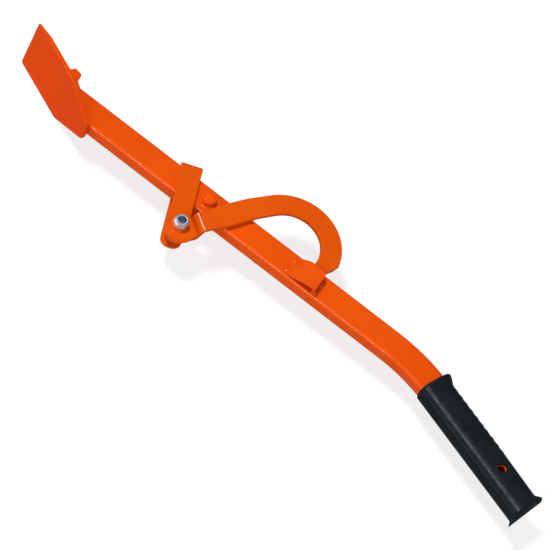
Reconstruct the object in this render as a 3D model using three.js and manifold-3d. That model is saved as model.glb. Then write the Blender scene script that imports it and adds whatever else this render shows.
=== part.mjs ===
// Felling lever lying on its side: a bent rectangular tube with a spade blade at the toe,
// a rubber grip at the other end, and a cant hook hung from a saddle strap.
// X runs along the shaft toward the grip, Y points to the hook side, Z is across the lever.

import * as THREE from 'three';
import { ConvexGeometry } from 'three/addons/geometries/ConvexGeometry.js';
import { mergeVertices } from 'three/addons/utils/BufferGeometryUtils.js';
import Module from 'manifold-3d';

const wasm = await Module();
wasm.setup();

const HALF = 1 / 2;
const FULL_TURN = 2 * Math.PI;
const HALF_TURN = Math.PI;
const QUARTER_TURN = Math.PI / 2;
const degrees = (value) => value * Math.PI / 180;

// Clearances and steps
const SEAT_GAP = 0.3;          // between two pieces that touch
const RUN_GAP = 0.05;          // radial clearance of the hook's bush on the bolt
const OVERRUN = 5;             // how far every cutting body runs past what it cuts
const ARC_STEP = 4;            // longest straight piece on a plate's curved outline
const BEND_STEPS = 4;          // straight pieces in one sheet bend
const ROUND_STEPS = 36;        // sides of a turned part
const CORNER_STEPS = 4;        // sides of one rounded tube corner
const SHAFT_BEND_STEPS = 10;   // straight pieces in the shaft's bend
const TACK_STEPS = 3;          // slopes from the foot to the crown of a weld tack
const HEXAGON_SIDES = 6;

// Shaft tube
const TUBE_DEPTH = 35;         // along Y
const TUBE_WIDTH = 20;         // along Z
const TUBE_CORNER = 4;
const TUBE_WALL = 2.5;
const BEND_START = 165;        // X where the shaft begins to bend
const BEND_RADIUS = 250;
const BEND_ANGLE = degrees(18);
const TUBE_TOP = TUBE_DEPTH * HALF;
const TUBE_SIDE = TUBE_WIDTH * HALF;

// Spade blade
const BLADE_TOE_X = -378.8;
const BLADE_TOE_Y = 30.5;
const BLADE_TILT = degrees(25);
const BLADE_LENGTH = 130.1;
const BLADE_WIDTH = 87.4;
const BLADE_THICKNESS = 4.6;
const BLADE_ROOT_WIDTH = 25;
const BLADE_PARALLEL = 79.7;   // length of the full width part
const BLADE_TOE_ROUND = 4;
const BLADE_SHOULDER_ROUND = 12;
const BLADE_ROOT_ROUND = 7;
const BLADE_EDGE_LENGTH = 22;  // ground slope at the toe
const BLADE_EDGE_THICKNESS = 1.2;

// Heel gusset standing in the corner of blade and tube
// (forward and rise are measured from that corner, along the tube's top and above it)
const GUSSET_THICKNESS = 6;
const GUSSET_FOOT = 45;
const GUSSET_NOTCH_FORWARD = 32.9;
const GUSSET_NOTCH_RISE = 8.6;
const GUSSET_SHOULDER_FORWARD = 31.4;
const GUSSET_SHOULDER_RISE = 18.5;
const GUSSET_PEAK_FORWARD = 21.6;
const GUSSET_PEAK_RISE = 20.9;
const GUSSET_HOLLOW_FORWARD = 18;
const GUSSET_HOLLOW_RISE = 15.8;
const GUSSET_BACK = 9;         // length of its seat on the blade
const GUSSET_ROUND = 2;

// Grip
const GRIP_START = 233;        // distance along the shaft's centre line
const GRIP_END = 422;          // middle of the butt end
const GRIP_DEPTH = 41;
const GRIP_WIDTH = 29;
const GRIP_END_WALL = 8;
const GRIP_END_SLANT = degrees(8.6); // the butt end leans back toward the hook side
const GRIP_END_DOME = 5;       // how far the butt end rounds over toward its two sides
const GRIP_LIP_RISE = 6.8;     // finger guard above the plain grip
const GRIP_LIP_LENGTH = 19;
const GRIP_TAIL_RISE = 6.5;    // lips above and below the butt end
const GRIP_TAIL_LENGTH = 8;
const GRIP_WAVE_RISE = 0.7;
const GRIP_WAVES_START = 250;
const GRIP_WAVES_END = 352;
const GRIP_WAVE_COUNT = 10;
const GRIP_EDGE_ROUND = 3.5;
const GRIP_TAPER = 1.2;        // how much the top comes down between the waves and the butt end
const GRIP_SQUARE_SHARE = 0.72; // 1 is an ellipse, smaller is squarer
const GRIP_SIDES = 36;
const GRIP_STATIONS = 50;
const GRIP_EDGE_STATIONS = 3;
const GRIP_TAIL_STATIONS = 8;
const HANG_DISTANCE = 365;     // hanging hole, along the centre line
const HANG_ACROSS = 2.7;
const HANG_RADIUS = 6;
const HANG_TUBE_RADIUS = 5;

// Pivot of the hook, below the tube
const PIVOT_X = -105;
const PIVOT_Y = -51.9;
const BOLT_RADIUS = 5;
const BOLT_HEAD_ACROSS = 16;   // across flats
const BOLT_HEAD_HEIGHT = 6.4;
const BOLT_CHAMFER = 1;
const NUT_ACROSS = 16;
const NUT_HEIGHT = 6.6;
const NUT_COLLAR_RADIUS = 7.2;
const NUT_COLLAR_HEIGHT = 2.4;
const NUT_RING_WALL = 1.4;
const WASHER_RADIUS = 10;
const WASHER_THICKNESS = 2;
const SPACER_RADIUS = 9;
const BUSH_WALL = 1.5;
const BOLT_TAIL = 1.2;         // bolt past the nut

// Saddle strap
const STRAP_LEAN = degrees(23.3);
const STRAP_THICKNESS = 3.5;
const STRAP_LEFT = 15.4;       // strap edges, measured across from the pivot
const STRAP_RIGHT = 9.8;
const STRAP_BEND = 3;          // inside radius of the folds
const STRAP_LEG_ROUND = 11;
const STRAP_LEG_FOOT = 17;
const STRAP_TOP_REACH = 100;
const FOOT_LOW = 24;           // front leg's boot-shaped foot
const FOOT_LOW_ACROSS = 3;
const FOOT_HEEL = 18;
const FOOT_HEEL_ACROSS = 13.5;
const FOOT_TOE = 6;
const FOOT_TOE_ACROSS = 22.5;
const FOOT_ANKLE = 15.3;
const BACK_FLARE_LOW = 16;     // wider part of the back leg, just below the tube
const BACK_FLARE_HIGH = 42;
const BACK_FLARE_ACROSS = 15;
const BACK_FLARE_ROUND = 3;
const FOOT_ROUND = 4;

// Cant hook
const HOOK_THICKNESS = 6;
const HOOK_LIFT = 14.5;        // offset of the hook's plane from the tube's centre plane
const HOOK_EYE_RADIUS = 15;
const JOGGLE_HEADING = degrees(56);
const JOGGLE_START = 17.75;    // distance from the pivot to the first fold
const JOGGLE_SLOPE = degrees(63);
const JOGGLE_BEND = 3.4;
const HOOK_REACH = 320;
const ARM_HEADING = degrees(61.5);
const ARM_LEFT = 6.9;          // arm's left edge, left of the line through the pivot
const ARM_TOP_X = -77.8;
const ARM_TOP_Y = 12.6;
const ARM_RIGHT_LOW_X = -72.4;
const ARM_RIGHT_LOW_Y = -29.4;
const ARM_RIGHT_MID_X = -59.4;
const ARM_RIGHT_MID_Y = -10;
const ARM_RIGHT_TOP_X = -44.6;
const ARM_RIGHT_TOP_Y = 17.5;
const RING_X = 1.9;            // inner contour of the ring
const RING_Y = 16.1;
const RING_INNER = 39.2;
const RING_INNER_START = degrees(145);
const RING_OUTER_Y = 15;
const RING_OUTER = 64.5;
const RING_OUTER_START = degrees(14);
const RING_OUTER_END = degrees(146);
const ARM_BACK_X = -66.6;      // arm's left edge, halfway between tube and ring
const ARM_BACK_Y = 31;
const ARM_RIGHT_STEPS = 12;
const ARM_LEFT_STEPS = 8;
const HEEL_X = 61.7;           // lower right corner of the ring
const HEEL_Y = 24.8;
const HEEL_ROUND = 6;
const NECK_X = 56.2;
const NECK_Y = 12.5;
const BEAK_TIP_X = 50.3;
const BEAK_TIP_Y = -3;
const BEAK_TIP_RADIUS = 3;
const BEAK_LEFT_X = 43.2;
const BEAK_LEFT_Y = 14;

// Keeper, a pocket of sheet on the tube's side that takes the beak; its cover climbs from a foot,
// fast along its high edge and slowly along its low one, and ends in a wall
const KEEPER_THICKNESS = 3;
const KEEPER_LOW = -15;
const KEEPER_HIGH = 13;
const KEEPER_LEFT = 22;
const KEEPER_RAMP_START = 26.5;
const KEEPER_HIGH_RAMP_SHARE = 0.375; // part of the pocket's length that the climb takes
const KEEPER_LOW_RAMP_SHARE = 0.87;
const KEEPER_WALL_HIGH = 57.2; // wall's inner face at the high edge
const KEEPER_WALL_LOW = 59.5;
const KEEPER_CORNER = 4;       // corner cut off beside the hook's neck
const KEEPER_CLEARANCE = 0.5;  // between the hook's outer face and the cover
const TACK_RADIUS = 2.1;
const TACK_RISE = 1.1;

// Stop stud on the tube's side, between the saddle's leg and the hook's arm
const STUD_X = -100;
const STUD_Y = 0;
const STUD_RADIUS = 8.4;
const STUD_HEIGHT = 7.4;
const STUD_GROOVE_WIDTH = 0.8;
const STUD_GROOVE_DEPTH = 0.45;

const ORANGE = 0xe4560c;
const BLACK = 0x15171c;
const ZINC = 0xb9bcc2;
const NYLON = 0x2b4f9a;
const BRONZE = 0x9a6a38;

// Shared helpers

function solid(geometry) {
  const bare = new THREE.BufferGeometry();
  const flat = geometry.index ? geometry.toNonIndexed() : geometry;
  bare.setAttribute('position', flat.getAttribute('position'));
  const merged = mergeVertices(bare);
  const vertProperties = new Float32Array(merged.getAttribute('position').array);
  const triVerts = new Uint32Array(merged.index.array);
  return new wasm.Manifold(new wasm.Mesh({ numProp: 3, vertProperties, triVerts }));
}

function toGeometry(body) {
  const mesh = body.getMesh();
  const geometry = new THREE.BufferGeometry();
  geometry.setAttribute('position', new THREE.BufferAttribute(new Float32Array(mesh.vertProperties), 3));
  geometry.setIndex(new THREE.BufferAttribute(new Uint32Array(mesh.triVerts), 1));
  geometry.computeVertexNormals();
  return geometry;
}

const point = (x, y) => new THREE.Vector2(x, y);

// Points of an arc, both ends included; a negative sweep runs clockwise
function arc(x, y, radius, start, end) {
  const pieces = Math.ceil(Math.abs(end - start) * radius / ARC_STEP) + 1;
  const points = [];
  for (let i = 0; i <= pieces; i += 1) {
    const angle = start + (end - start) * i / pieces;
    points.push(point(x + radius * Math.cos(angle), y + radius * Math.sin(angle)));
  }
  return points;
}

// Rounds one corner of a path between the points before and after it
function corner(before, at, after, radius, steps) {
  const back = before.clone().sub(at).normalize();
  const ahead = after.clone().sub(at).normalize();
  const halfAngle = Math.acos(back.dot(ahead)) * HALF;
  const reach = radius / Math.tan(halfAngle);
  const middle = back.clone().add(ahead).normalize().multiplyScalar(radius / Math.sin(halfAngle)).add(at);
  const first = back.clone().multiplyScalar(reach).add(at).sub(middle);
  const last = ahead.clone().multiplyScalar(reach).add(at).sub(middle);
  let turn = last.angle() - first.angle();
  if (turn > HALF_TURN) turn -= FULL_TURN;
  if (turn < -HALF_TURN) turn += FULL_TURN;
  const points = [];
  for (let i = 0; i <= steps; i += 1) {
    points.push(first.clone().rotateAround(point(0, 0), turn * i / steps).add(middle));
  }
  return points;
}

// Open path with each inner corner rounded by its own radius
function roundedPath(points, radii, steps) {
  const path = [points[0]];
  for (let i = 1; i < points.length - 1; i += 1) {
    path.push(...corner(points[i - 1], points[i], points[i + 1], radii[i - 1], steps));
  }
  path.push(points[points.length - 1]);
  return path;
}

// Closed outline with each corner rounded by its own radius
function roundedOutline(points, radii, steps) {
  const count = points.length;
  return points.flatMap((at, i) => {
    if (radii[i] === 0) return [at];
    return corner(points[(i + count - 1) % count], at, points[(i + 1) % count], radii[i], steps);
  });
}

// The path moved sideways, to its left when the distance is positive
function offsetPath(path, distance) {
  return path.map((at, i) => {
    const before = path[Math.max(i - 1, 0)];
    const after = path[Math.min(i + 1, path.length - 1)];
    const into = (i === 0 ? after.clone().sub(at) : at.clone().sub(before)).normalize();
    const out = (i === path.length - 1 ? at.clone().sub(before) : after.clone().sub(at)).normalize();
    const mitre = distance / (1 + into.dot(out));
    return point(at.x - (into.y + out.y) * mitre, at.y + (into.x + out.x) * mitre);
  });
}

// Sheet section: the path and its copy moved left by the sheet's thickness
function sheetSection(path, thickness) {
  return [...path, ...offsetPath(path, thickness).reverse()];
}

// Outline drawn on the axes u and v through the origin, thickened along u x v
function slab(outline, depth, origin, u, v) {
  const geometry = new THREE.ExtrudeGeometry(new THREE.Shape(outline), { depth, bevelEnabled: false });
  const w = new THREE.Vector3().crossVectors(u, v);
  const placing = new THREE.Matrix4().makeBasis(u, v, w).setPosition(origin);
  return solid(geometry.applyMatrix4(placing));
}

const ALONG_X = new THREE.Vector3(1, 0, 0);
const ALONG_Y = new THREE.Vector3(0, 1, 0);
const ALONG_Z = new THREE.Vector3(0, 0, 1);

// Plate in the plane of the lever between two heights
function plate(outline, low, high) {
  return slab(outline, high - low, new THREE.Vector3(0, 0, low), ALONG_X, ALONG_Y);
}

// Turned body about the Z axis at x, y; the profile is a closed list of radius and height
function turned(profile, x, y) {
  const closed = [...profile, profile[0]];
  const geometry = new THREE.LatheGeometry(closed, ROUND_STEPS);
  geometry.rotateX(QUARTER_TURN);
  geometry.translate(x, y, 0);
  return solid(geometry);
}

function ring(inner, outer, low, high) {
  return [point(inner, low), point(outer, low), point(outer, high), point(inner, high)];
}

function disc(radius, low, high) {
  return ring(0, radius, low, high);
}

// Hexagon standing between two heights, its corners turned off on the outer side
function hexagon(across, low, high, outerSide) {
  const cornerRadius = across * HALF / Math.cos(HALF_TURN / HEXAGON_SIDES);
  const outline = [];
  for (let i = 0; i < HEXAGON_SIDES; i += 1) {
    const angle = FULL_TURN * i / HEXAGON_SIDES + STRAP_LEAN;
    const x = PIVOT_X + cornerRadius * Math.cos(angle);
    const y = PIVOT_Y + cornerRadius * Math.sin(angle);
    outline.push(point(x, y));
  }
  const outer = outerSide > 0 ? high : low;
  const inner = outerSide > 0 ? low : high;
  const cone = [
    point(0, inner - outerSide * OVERRUN),
    point(cornerRadius + OVERRUN, inner - outerSide * OVERRUN),
    point(cornerRadius + OVERRUN, outer - outerSide * (BOLT_CHAMFER + OVERRUN * HALF)),
    point(across * HALF, outer),
    point(0, outer),
  ];
  const profile = outerSide > 0 ? cone : cone.reverse();
  return plate(outline, low, high).intersect(turned(profile, PIVOT_X, PIVOT_Y));
}

// Closed skin through rings of points, counterclockwise about the direction they advance in
function loft(rings) {
  const positions = [];
  const triangle = (a, b, c) => positions.push(...a.toArray(), ...b.toArray(), ...c.toArray());
  const middle = (points) => points.reduce((sum, p) => sum.add(p), new THREE.Vector3())
    .divideScalar(points.length);
  const count = rings[0].length;
  for (let i = 0; i < rings.length - 1; i += 1) {
    for (let j = 0; j < count; j += 1) {
      const k = (j + 1) % count;
      triangle(rings[i][j], rings[i][k], rings[i + 1][k]);
      triangle(rings[i][j], rings[i + 1][k], rings[i + 1][j]);
    }
  }
  const first = rings[0];
  const last = rings[rings.length - 1];
  const firstMiddle = middle(first);
  const lastMiddle = middle(last);
  for (let j = 0; j < count; j += 1) {
    const k = (j + 1) % count;
    triangle(firstMiddle, first[k], first[j]);
    triangle(lastMiddle, last[j], last[k]);
  }
  const geometry = new THREE.BufferGeometry();
  geometry.setAttribute('position', new THREE.BufferAttribute(new Float32Array(positions), 3));
  return solid(geometry);
}

// Centre line of the shaft: straight, then bent down toward the grip, then straight
function axisAt(distance) {
  const bendLength = BEND_RADIUS * BEND_ANGLE;
  const past = distance - BEND_START;
  if (past <= 0) return { x: distance, y: 0, heading: 0 };
  const turn = Math.min(past, bendLength) / BEND_RADIUS;
  const beyond = Math.max(past - bendLength, 0);
  return {
    x: BEND_START + BEND_RADIUS * Math.sin(turn) + beyond * Math.cos(turn),
    y: -BEND_RADIUS * (1 - Math.cos(turn)) - beyond * Math.sin(turn),
    heading: -turn,
  };
}

function placed(distance, across, z) {
  const here = axisAt(distance);
  return new THREE.Vector3(
    here.x - Math.sin(here.heading) * across,
    here.y + Math.cos(here.heading) * across,
    z,
  );
}

function sweep(distances, sectionAt) {
  return loft(distances.map((distance) => (
    sectionAt(distance).map((at) => placed(distance, at.x, at.y))
  )));
}

function roundedBox(depth, width, radius) {
  const x = depth * HALF;
  const y = width * HALF;
  const points = [point(-x, -y), point(x, -y), point(x, y), point(-x, y)];
  return roundedOutline(points, points.map(() => radius), CORNER_STEPS);
}

function spread(start, end, pieces) {
  return Array.from({ length: pieces + 1 }, (unused, i) => start + (end - start) * i / pieces);
}

function cylinderAcross(distance, across, radius, reach) {
  const at = placed(distance, across, 0);
  return turned(disc(radius, -reach, reach), at.x, at.y);
}

const tubeEnd = GRIP_END - GRIP_END_WALL - SEAT_GAP;
const bladeAlong = new THREE.Vector3(Math.cos(BLADE_TILT), -Math.sin(BLADE_TILT), 0);
const bladeBack = new THREE.Vector3(Math.sin(BLADE_TILT), Math.cos(BLADE_TILT), 0);
const bladeToe = new THREE.Vector3(BLADE_TOE_X, BLADE_TOE_Y, 0);
const bladePoint = (along, up) => bladeToe.clone()
  .addScaledVector(bladeAlong, along)
  .addScaledVector(bladeBack, up);

function shaftTube() {
  const bendEnd = BEND_START + BEND_RADIUS * BEND_ANGLE;
  const distances = [BLADE_TOE_X, ...spread(BEND_START, bendEnd, SHAFT_BEND_STEPS), tubeEnd];
  const outer = sweep(distances, () => roundedBox(TUBE_DEPTH, TUBE_WIDTH, TUBE_CORNER));
  const boreDistances = [BLADE_TOE_X - OVERRUN, ...distances.slice(1, -1), tubeEnd + OVERRUN];
  const bore = sweep(boreDistances, () => roundedBox(
    TUBE_DEPTH - TUBE_WALL - TUBE_WALL,
    TUBE_WIDTH - TUBE_WALL - TUBE_WALL,
    TUBE_CORNER - TUBE_WALL,
  ));
  // everything on the far side of the blade's back is cut off at a slant
  const seat = BLADE_THICKNESS + SEAT_GAP;
  const cutDepth = BLADE_WIDTH + OVERRUN;
  const cut = [
    bladePoint(-BLADE_LENGTH, seat),
    bladePoint(-BLADE_LENGTH, -BLADE_LENGTH),
    bladePoint(BLADE_LENGTH + BLADE_LENGTH, -BLADE_LENGTH),
    bladePoint(BLADE_LENGTH + BLADE_LENGTH, seat),
  ].map((p) => point(p.x, p.y));
  return outer
    .subtract(bore)
    .subtract(plate(cut, -cutDepth, cutDepth))
    .subtract(cylinderAcross(HANG_DISTANCE, HANG_ACROSS, HANG_TUBE_RADIUS, TUBE_WIDTH));
}

function spadeBlade() {
  const half = BLADE_WIDTH * HALF;
  const root = BLADE_ROOT_WIDTH * HALF;
  const outline = roundedOutline(
    [
      point(0, -half),
      point(BLADE_PARALLEL, -half),
      point(BLADE_LENGTH, -root),
      point(BLADE_LENGTH, root),
      point(BLADE_PARALLEL, half),
      point(0, half),
    ],
    [
      BLADE_TOE_ROUND, BLADE_SHOULDER_ROUND, BLADE_ROOT_ROUND,
      BLADE_ROOT_ROUND, BLADE_SHOULDER_ROUND, BLADE_TOE_ROUND,
    ],
    CORNER_STEPS + CORNER_STEPS,
  );
  const body = slab(outline, BLADE_THICKNESS, bladePoint(0, BLADE_THICKNESS), bladeAlong, ALONG_Z);
  const slope = (BLADE_THICKNESS - BLADE_EDGE_THICKNESS) / BLADE_EDGE_LENGTH;
  const ground = [
    bladePoint(BLADE_EDGE_LENGTH + OVERRUN, BLADE_THICKNESS + slope * OVERRUN),
    bladePoint(-OVERRUN, BLADE_THICKNESS + slope * OVERRUN),
    bladePoint(-OVERRUN, BLADE_EDGE_THICKNESS - slope * OVERRUN),
  ].map((p) => point(p.x, p.y));
  return body.subtract(plate(ground, -BLADE_WIDTH, BLADE_WIDTH));
}

function bladeGusset() {
  const seat = BLADE_THICKNESS + SEAT_GAP;
  const base = TUBE_TOP + SEAT_GAP;
  // where the blade's back comes down to the tube's top
  const cornerAlong = (BLADE_TOE_Y + seat * Math.cos(BLADE_TILT) - base) / Math.sin(BLADE_TILT);
  const low = bladePoint(cornerAlong, seat);
  const high = bladePoint(cornerAlong - GUSSET_BACK, seat);
  const outline = roundedOutline(
    [
      point(low.x, low.y),
      point(low.x + GUSSET_FOOT, base),
      point(low.x + GUSSET_NOTCH_FORWARD, base + GUSSET_NOTCH_RISE),
      point(low.x + GUSSET_SHOULDER_FORWARD, base + GUSSET_SHOULDER_RISE),
      point(low.x + GUSSET_PEAK_FORWARD, base + GUSSET_PEAK_RISE),
      point(low.x + GUSSET_HOLLOW_FORWARD, base + GUSSET_HOLLOW_RISE),
      point(high.x, high.y),
    ],
    [0, 0, GUSSET_ROUND, GUSSET_ROUND, GUSSET_ROUND, GUSSET_ROUND, 0],
    CORNER_STEPS,
  );
  return plate(outline, -GUSSET_THICKNESS * HALF, GUSSET_THICKNESS * HALF);
}

// A bump that rises from zero slope at both ends and peaks in the middle
const bump = (share) => (share <= 0 || share >= 1 ? 0 : (1 - Math.cos(FULL_TURN * share)) * HALF);
// A rise that falls from one to zero
const fade = (share) => (share >= 1 ? 0 : (1 + Math.cos(HALF_TURN * Math.max(share, 0))) * HALF);

// how far the leaning butt end reaches past its middle below, and falls short of it above
const gripSlantReach = (GRIP_DEPTH * HALF + GRIP_TAIL_RISE) * Math.tan(GRIP_END_SLANT);

function gripSection(distance) {
  const rounding = (inside, radius) => {
    const share = Math.min(inside / radius, 1);
    return radius * (1 - Math.sqrt(1 - (1 - share) ** 2));
  };
  const shrink = rounding(distance - GRIP_START, GRIP_EDGE_ROUND);
  const guard = GRIP_LIP_RISE * fade((distance - GRIP_START) / GRIP_LIP_LENGTH);
  const tail = (end) => GRIP_TAIL_RISE * fade((end - distance) / GRIP_TAIL_LENGTH);
  const waveLength = (GRIP_WAVES_END - GRIP_WAVES_START) / GRIP_WAVE_COUNT;
  const wavePlace = (distance - GRIP_WAVES_START) / waveLength;
  const inWaves = wavePlace > 0 && wavePlace < GRIP_WAVE_COUNT;
  const wave = inWaves ? GRIP_WAVE_RISE * bump(wavePlace % 1) : 0;
  const behind = Math.max(distance - GRIP_WAVES_END, 0) / (GRIP_END - GRIP_WAVES_END);
  const rise = guard + tail(GRIP_END - gripSlantReach) + wave - GRIP_TAPER * behind;
  const top = GRIP_DEPTH * HALF + rise - shrink;
  const bottom = GRIP_DEPTH * HALF + tail(GRIP_END + gripSlantReach) - shrink;
  const side = GRIP_WIDTH * HALF - shrink;
  const points = [];
  for (let i = 0; i < GRIP_SIDES; i += 1) {
    const angle = FULL_TURN * i / GRIP_SIDES;
    const c = Math.cos(angle);
    const s = Math.sin(angle);
    const across = Math.sign(c) * Math.abs(c) ** GRIP_SQUARE_SHARE;
    const out = Math.sign(s) * Math.abs(s) ** GRIP_SQUARE_SHARE;
    points.push(point(across * (c > 0 ? top : bottom), out * side));
  }
  return points;
}

// Everything past the butt end: a surface that leans back and is arched across the lever
function pastButt() {
  const half = GRIP_WIDTH * HALF + SEAT_GAP;
  const radius = (half ** 2 + GRIP_END_DOME ** 2) / (GRIP_END_DOME + GRIP_END_DOME);
  const opening = Math.asin(half / radius);
  const outline = [
    ...arc(-radius, 0, radius, -opening, opening),
    point(GRIP_DEPTH, half),
    point(GRIP_DEPTH, -half),
  ];
  const heading = axisAt(GRIP_END).heading + GRIP_END_SLANT;
  const outward = new THREE.Vector3(Math.cos(heading), Math.sin(heading), 0);
  const upward = new THREE.Vector3(-Math.sin(heading), Math.cos(heading), 0);
  const origin = placed(GRIP_END, 0, 0).addScaledVector(upward, GRIP_DEPTH);
  return slab(outline, GRIP_DEPTH + GRIP_DEPTH, origin, outward, ALONG_Z);
}

function grip() {
  const tailStart = GRIP_END - gripSlantReach - GRIP_TAIL_LENGTH;
  const tailEnd = GRIP_END + gripSlantReach + SEAT_GAP;
  const distances = [
    ...spread(GRIP_START, GRIP_START + GRIP_EDGE_ROUND, GRIP_EDGE_STATIONS),
    ...spread(GRIP_START + GRIP_EDGE_ROUND, tailStart, GRIP_STATIONS).slice(1),
    ...spread(tailStart, tailEnd, GRIP_TAIL_STATIONS).slice(1),
  ];
  const socketDistances = [
    GRIP_START - OVERRUN,
    ...spread(GRIP_START, BEND_START + BEND_RADIUS * BEND_ANGLE, CORNER_STEPS),
    GRIP_END - GRIP_END_WALL,
  ];
  const socket = sweep(socketDistances, () => roundedBox(
    TUBE_DEPTH + SEAT_GAP + SEAT_GAP,
    TUBE_WIDTH + SEAT_GAP + SEAT_GAP,
    TUBE_CORNER + SEAT_GAP,
  ));
  return sweep(distances, gripSection)
    .subtract(pastButt())
    .subtract(socket)
    .subtract(cylinderAcross(HANG_DISTANCE, HANG_ACROSS, HANG_RADIUS, GRIP_WIDTH));
}

const strapUp = new THREE.Vector3(-Math.sin(STRAP_LEAN), Math.cos(STRAP_LEAN), 0);
const strapAcross = new THREE.Vector3(Math.cos(STRAP_LEAN), Math.sin(STRAP_LEAN), 0);
const pivot = new THREE.Vector3(PIVOT_X, PIVOT_Y, 0);
const strapPoint = (across, up) => {
  const at = pivot.clone().addScaledVector(strapAcross, across).addScaledVector(strapUp, up);
  return point(at.x, at.y);
};
const legInside = TUBE_SIDE + SEAT_GAP;
const legOutside = legInside + STRAP_THICKNESS;
// height of the bridge at which its lower corner rests on the tube's top
const bridgeSeat = TUBE_TOP + SEAT_GAP - PIVOT_Y;
const bridgeRise = (bridgeSeat + STRAP_LEFT * Math.sin(STRAP_LEAN)) / Math.cos(STRAP_LEAN);
const rockPoint = strapPoint(-STRAP_LEFT, bridgeRise);

function saddleStrap() {
  const legReach = FOOT_LOW + OVERRUN;
  const path = roundedPath(
    [
      point(-legReach, legInside),
      point(bridgeRise, legInside),
      point(bridgeRise, -legInside),
      point(-legReach, -legInside),
    ],
    [STRAP_BEND, STRAP_BEND],
    BEND_STEPS,
  );
  const sectionReach = STRAP_LEFT + FOOT_TOE_ACROSS + OVERRUN;
  const start = pivot.clone().addScaledVector(strapAcross, -sectionReach);
  const folded = slab(
    sheetSection(path, STRAP_THICKNESS), sectionReach + sectionReach, start, strapUp, ALONG_Z,
  );
  const front = roundedOutline(
    [
      strapPoint(-STRAP_LEFT, STRAP_TOP_REACH),
      strapPoint(-STRAP_LEFT, -FOOT_HEEL),
      strapPoint(FOOT_LOW_ACROSS, -FOOT_LOW),
      strapPoint(FOOT_HEEL_ACROSS, -FOOT_HEEL),
      strapPoint(FOOT_TOE_ACROSS, -FOOT_TOE),
      strapPoint(STRAP_RIGHT, FOOT_ANKLE),
      strapPoint(STRAP_RIGHT, STRAP_TOP_REACH),
    ],
    [0, FOOT_ROUND, FOOT_ROUND, FOOT_ROUND, FOOT_ROUND, 0, 0],
    CORNER_STEPS,
  );
  const flare = BACK_FLARE_ACROSS - STRAP_RIGHT;
  const back = roundedOutline(
    [
      strapPoint(-STRAP_LEFT, STRAP_TOP_REACH),
      strapPoint(-STRAP_LEFT, -STRAP_LEG_FOOT),
      strapPoint(STRAP_RIGHT, -STRAP_LEG_FOOT),
      strapPoint(STRAP_RIGHT, BACK_FLARE_LOW),
      strapPoint(BACK_FLARE_ACROSS, BACK_FLARE_LOW + flare),
      strapPoint(BACK_FLARE_ACROSS, BACK_FLARE_HIGH - flare),
      strapPoint(STRAP_RIGHT, BACK_FLARE_HIGH),
      strapPoint(STRAP_RIGHT, STRAP_TOP_REACH),
    ],
    [0, STRAP_LEG_ROUND, STRAP_LEG_ROUND, 0, BACK_FLARE_ROUND, BACK_FLARE_ROUND, 0, 0],
    CORNER_STEPS + CORNER_STEPS,
  );
  const split = TUBE_SIDE * HALF;
  const reach = legOutside + OVERRUN;
  const windows = plate(front, -split, reach).add(plate(back, -reach, split));
  return folded
    .intersect(windows)
    .subtract(turned(disc(BOLT_RADIUS + SEAT_GAP, -reach, reach), PIVOT_X, PIVOT_Y));
}

const washerIn = legOutside + SEAT_GAP;
const washerOut = washerIn + WASHER_THICKNESS;
const nutIn = washerOut + SEAT_GAP;
const nutOut = nutIn + NUT_HEIGHT;
const hookHalf = HOOK_THICKNESS * HALF;
const spacerIn = hookHalf + SEAT_GAP;
const spacerOut = legInside - SEAT_GAP;
const boltEnd = nutOut + NUT_COLLAR_HEIGHT + BOLT_TAIL;
const eyeBore = BOLT_RADIUS + RUN_GAP + BUSH_WALL + SEAT_GAP;

function pivotBolt() {
  const head = hexagon(BOLT_HEAD_ACROSS, -nutIn - BOLT_HEAD_HEIGHT, -nutIn, -1);
  const shank = turned(
    [
      point(0, -nutIn - BOLT_HEAD_HEIGHT * HALF),
      point(BOLT_RADIUS, -nutIn - BOLT_HEAD_HEIGHT * HALF),
      point(BOLT_RADIUS, boltEnd - BOLT_CHAMFER),
      point(BOLT_RADIUS - BOLT_CHAMFER, boltEnd),
      point(0, boltEnd),
    ],
    PIVOT_X,
    PIVOT_Y,
  );
  return head.add(shank);
}

function pivotNut() {
  const collarTop = nutOut + NUT_COLLAR_HEIGHT;
  const cutTop = collarTop + OVERRUN;
  const boreRadius = BOLT_RADIUS + SEAT_GAP;
  const collar = disc(NUT_COLLAR_RADIUS, nutIn + BOLT_CHAMFER, collarTop);
  const bore = disc(boreRadius, nutIn - OVERRUN, cutTop);
  const pocket = disc(boreRadius + NUT_RING_WALL, nutOut, cutTop);
  return hexagon(NUT_ACROSS, nutIn, nutOut, 1)
    .add(turned(collar, PIVOT_X, PIVOT_Y))
    .subtract(turned(bore, PIVOT_X, PIVOT_Y))
    .subtract(turned(pocket, PIVOT_X, PIVOT_Y));
}

function nutRing() {
  const inner = BOLT_RADIUS + SEAT_GAP;
  const outer = inner + NUT_RING_WALL - SEAT_GAP;
  const low = nutOut + SEAT_GAP;
  const high = nutOut + NUT_COLLAR_HEIGHT - SEAT_GAP;
  return turned(ring(inner, outer, low, high), PIVOT_X, PIVOT_Y);
}

function washer(low, high) {
  return turned(ring(BOLT_RADIUS + SEAT_GAP, WASHER_RADIUS, low, high), PIVOT_X, PIVOT_Y);
}

function spacer(low, high) {
  return turned(ring(BOLT_RADIUS + SEAT_GAP, SPACER_RADIUS, low, high), PIVOT_X, PIVOT_Y);
}

function hookBush() {
  const inner = BOLT_RADIUS + RUN_GAP;
  return turned(ring(inner, inner + BUSH_WALL, -hookHalf, hookHalf), PIVOT_X, PIVOT_Y);
}

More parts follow.
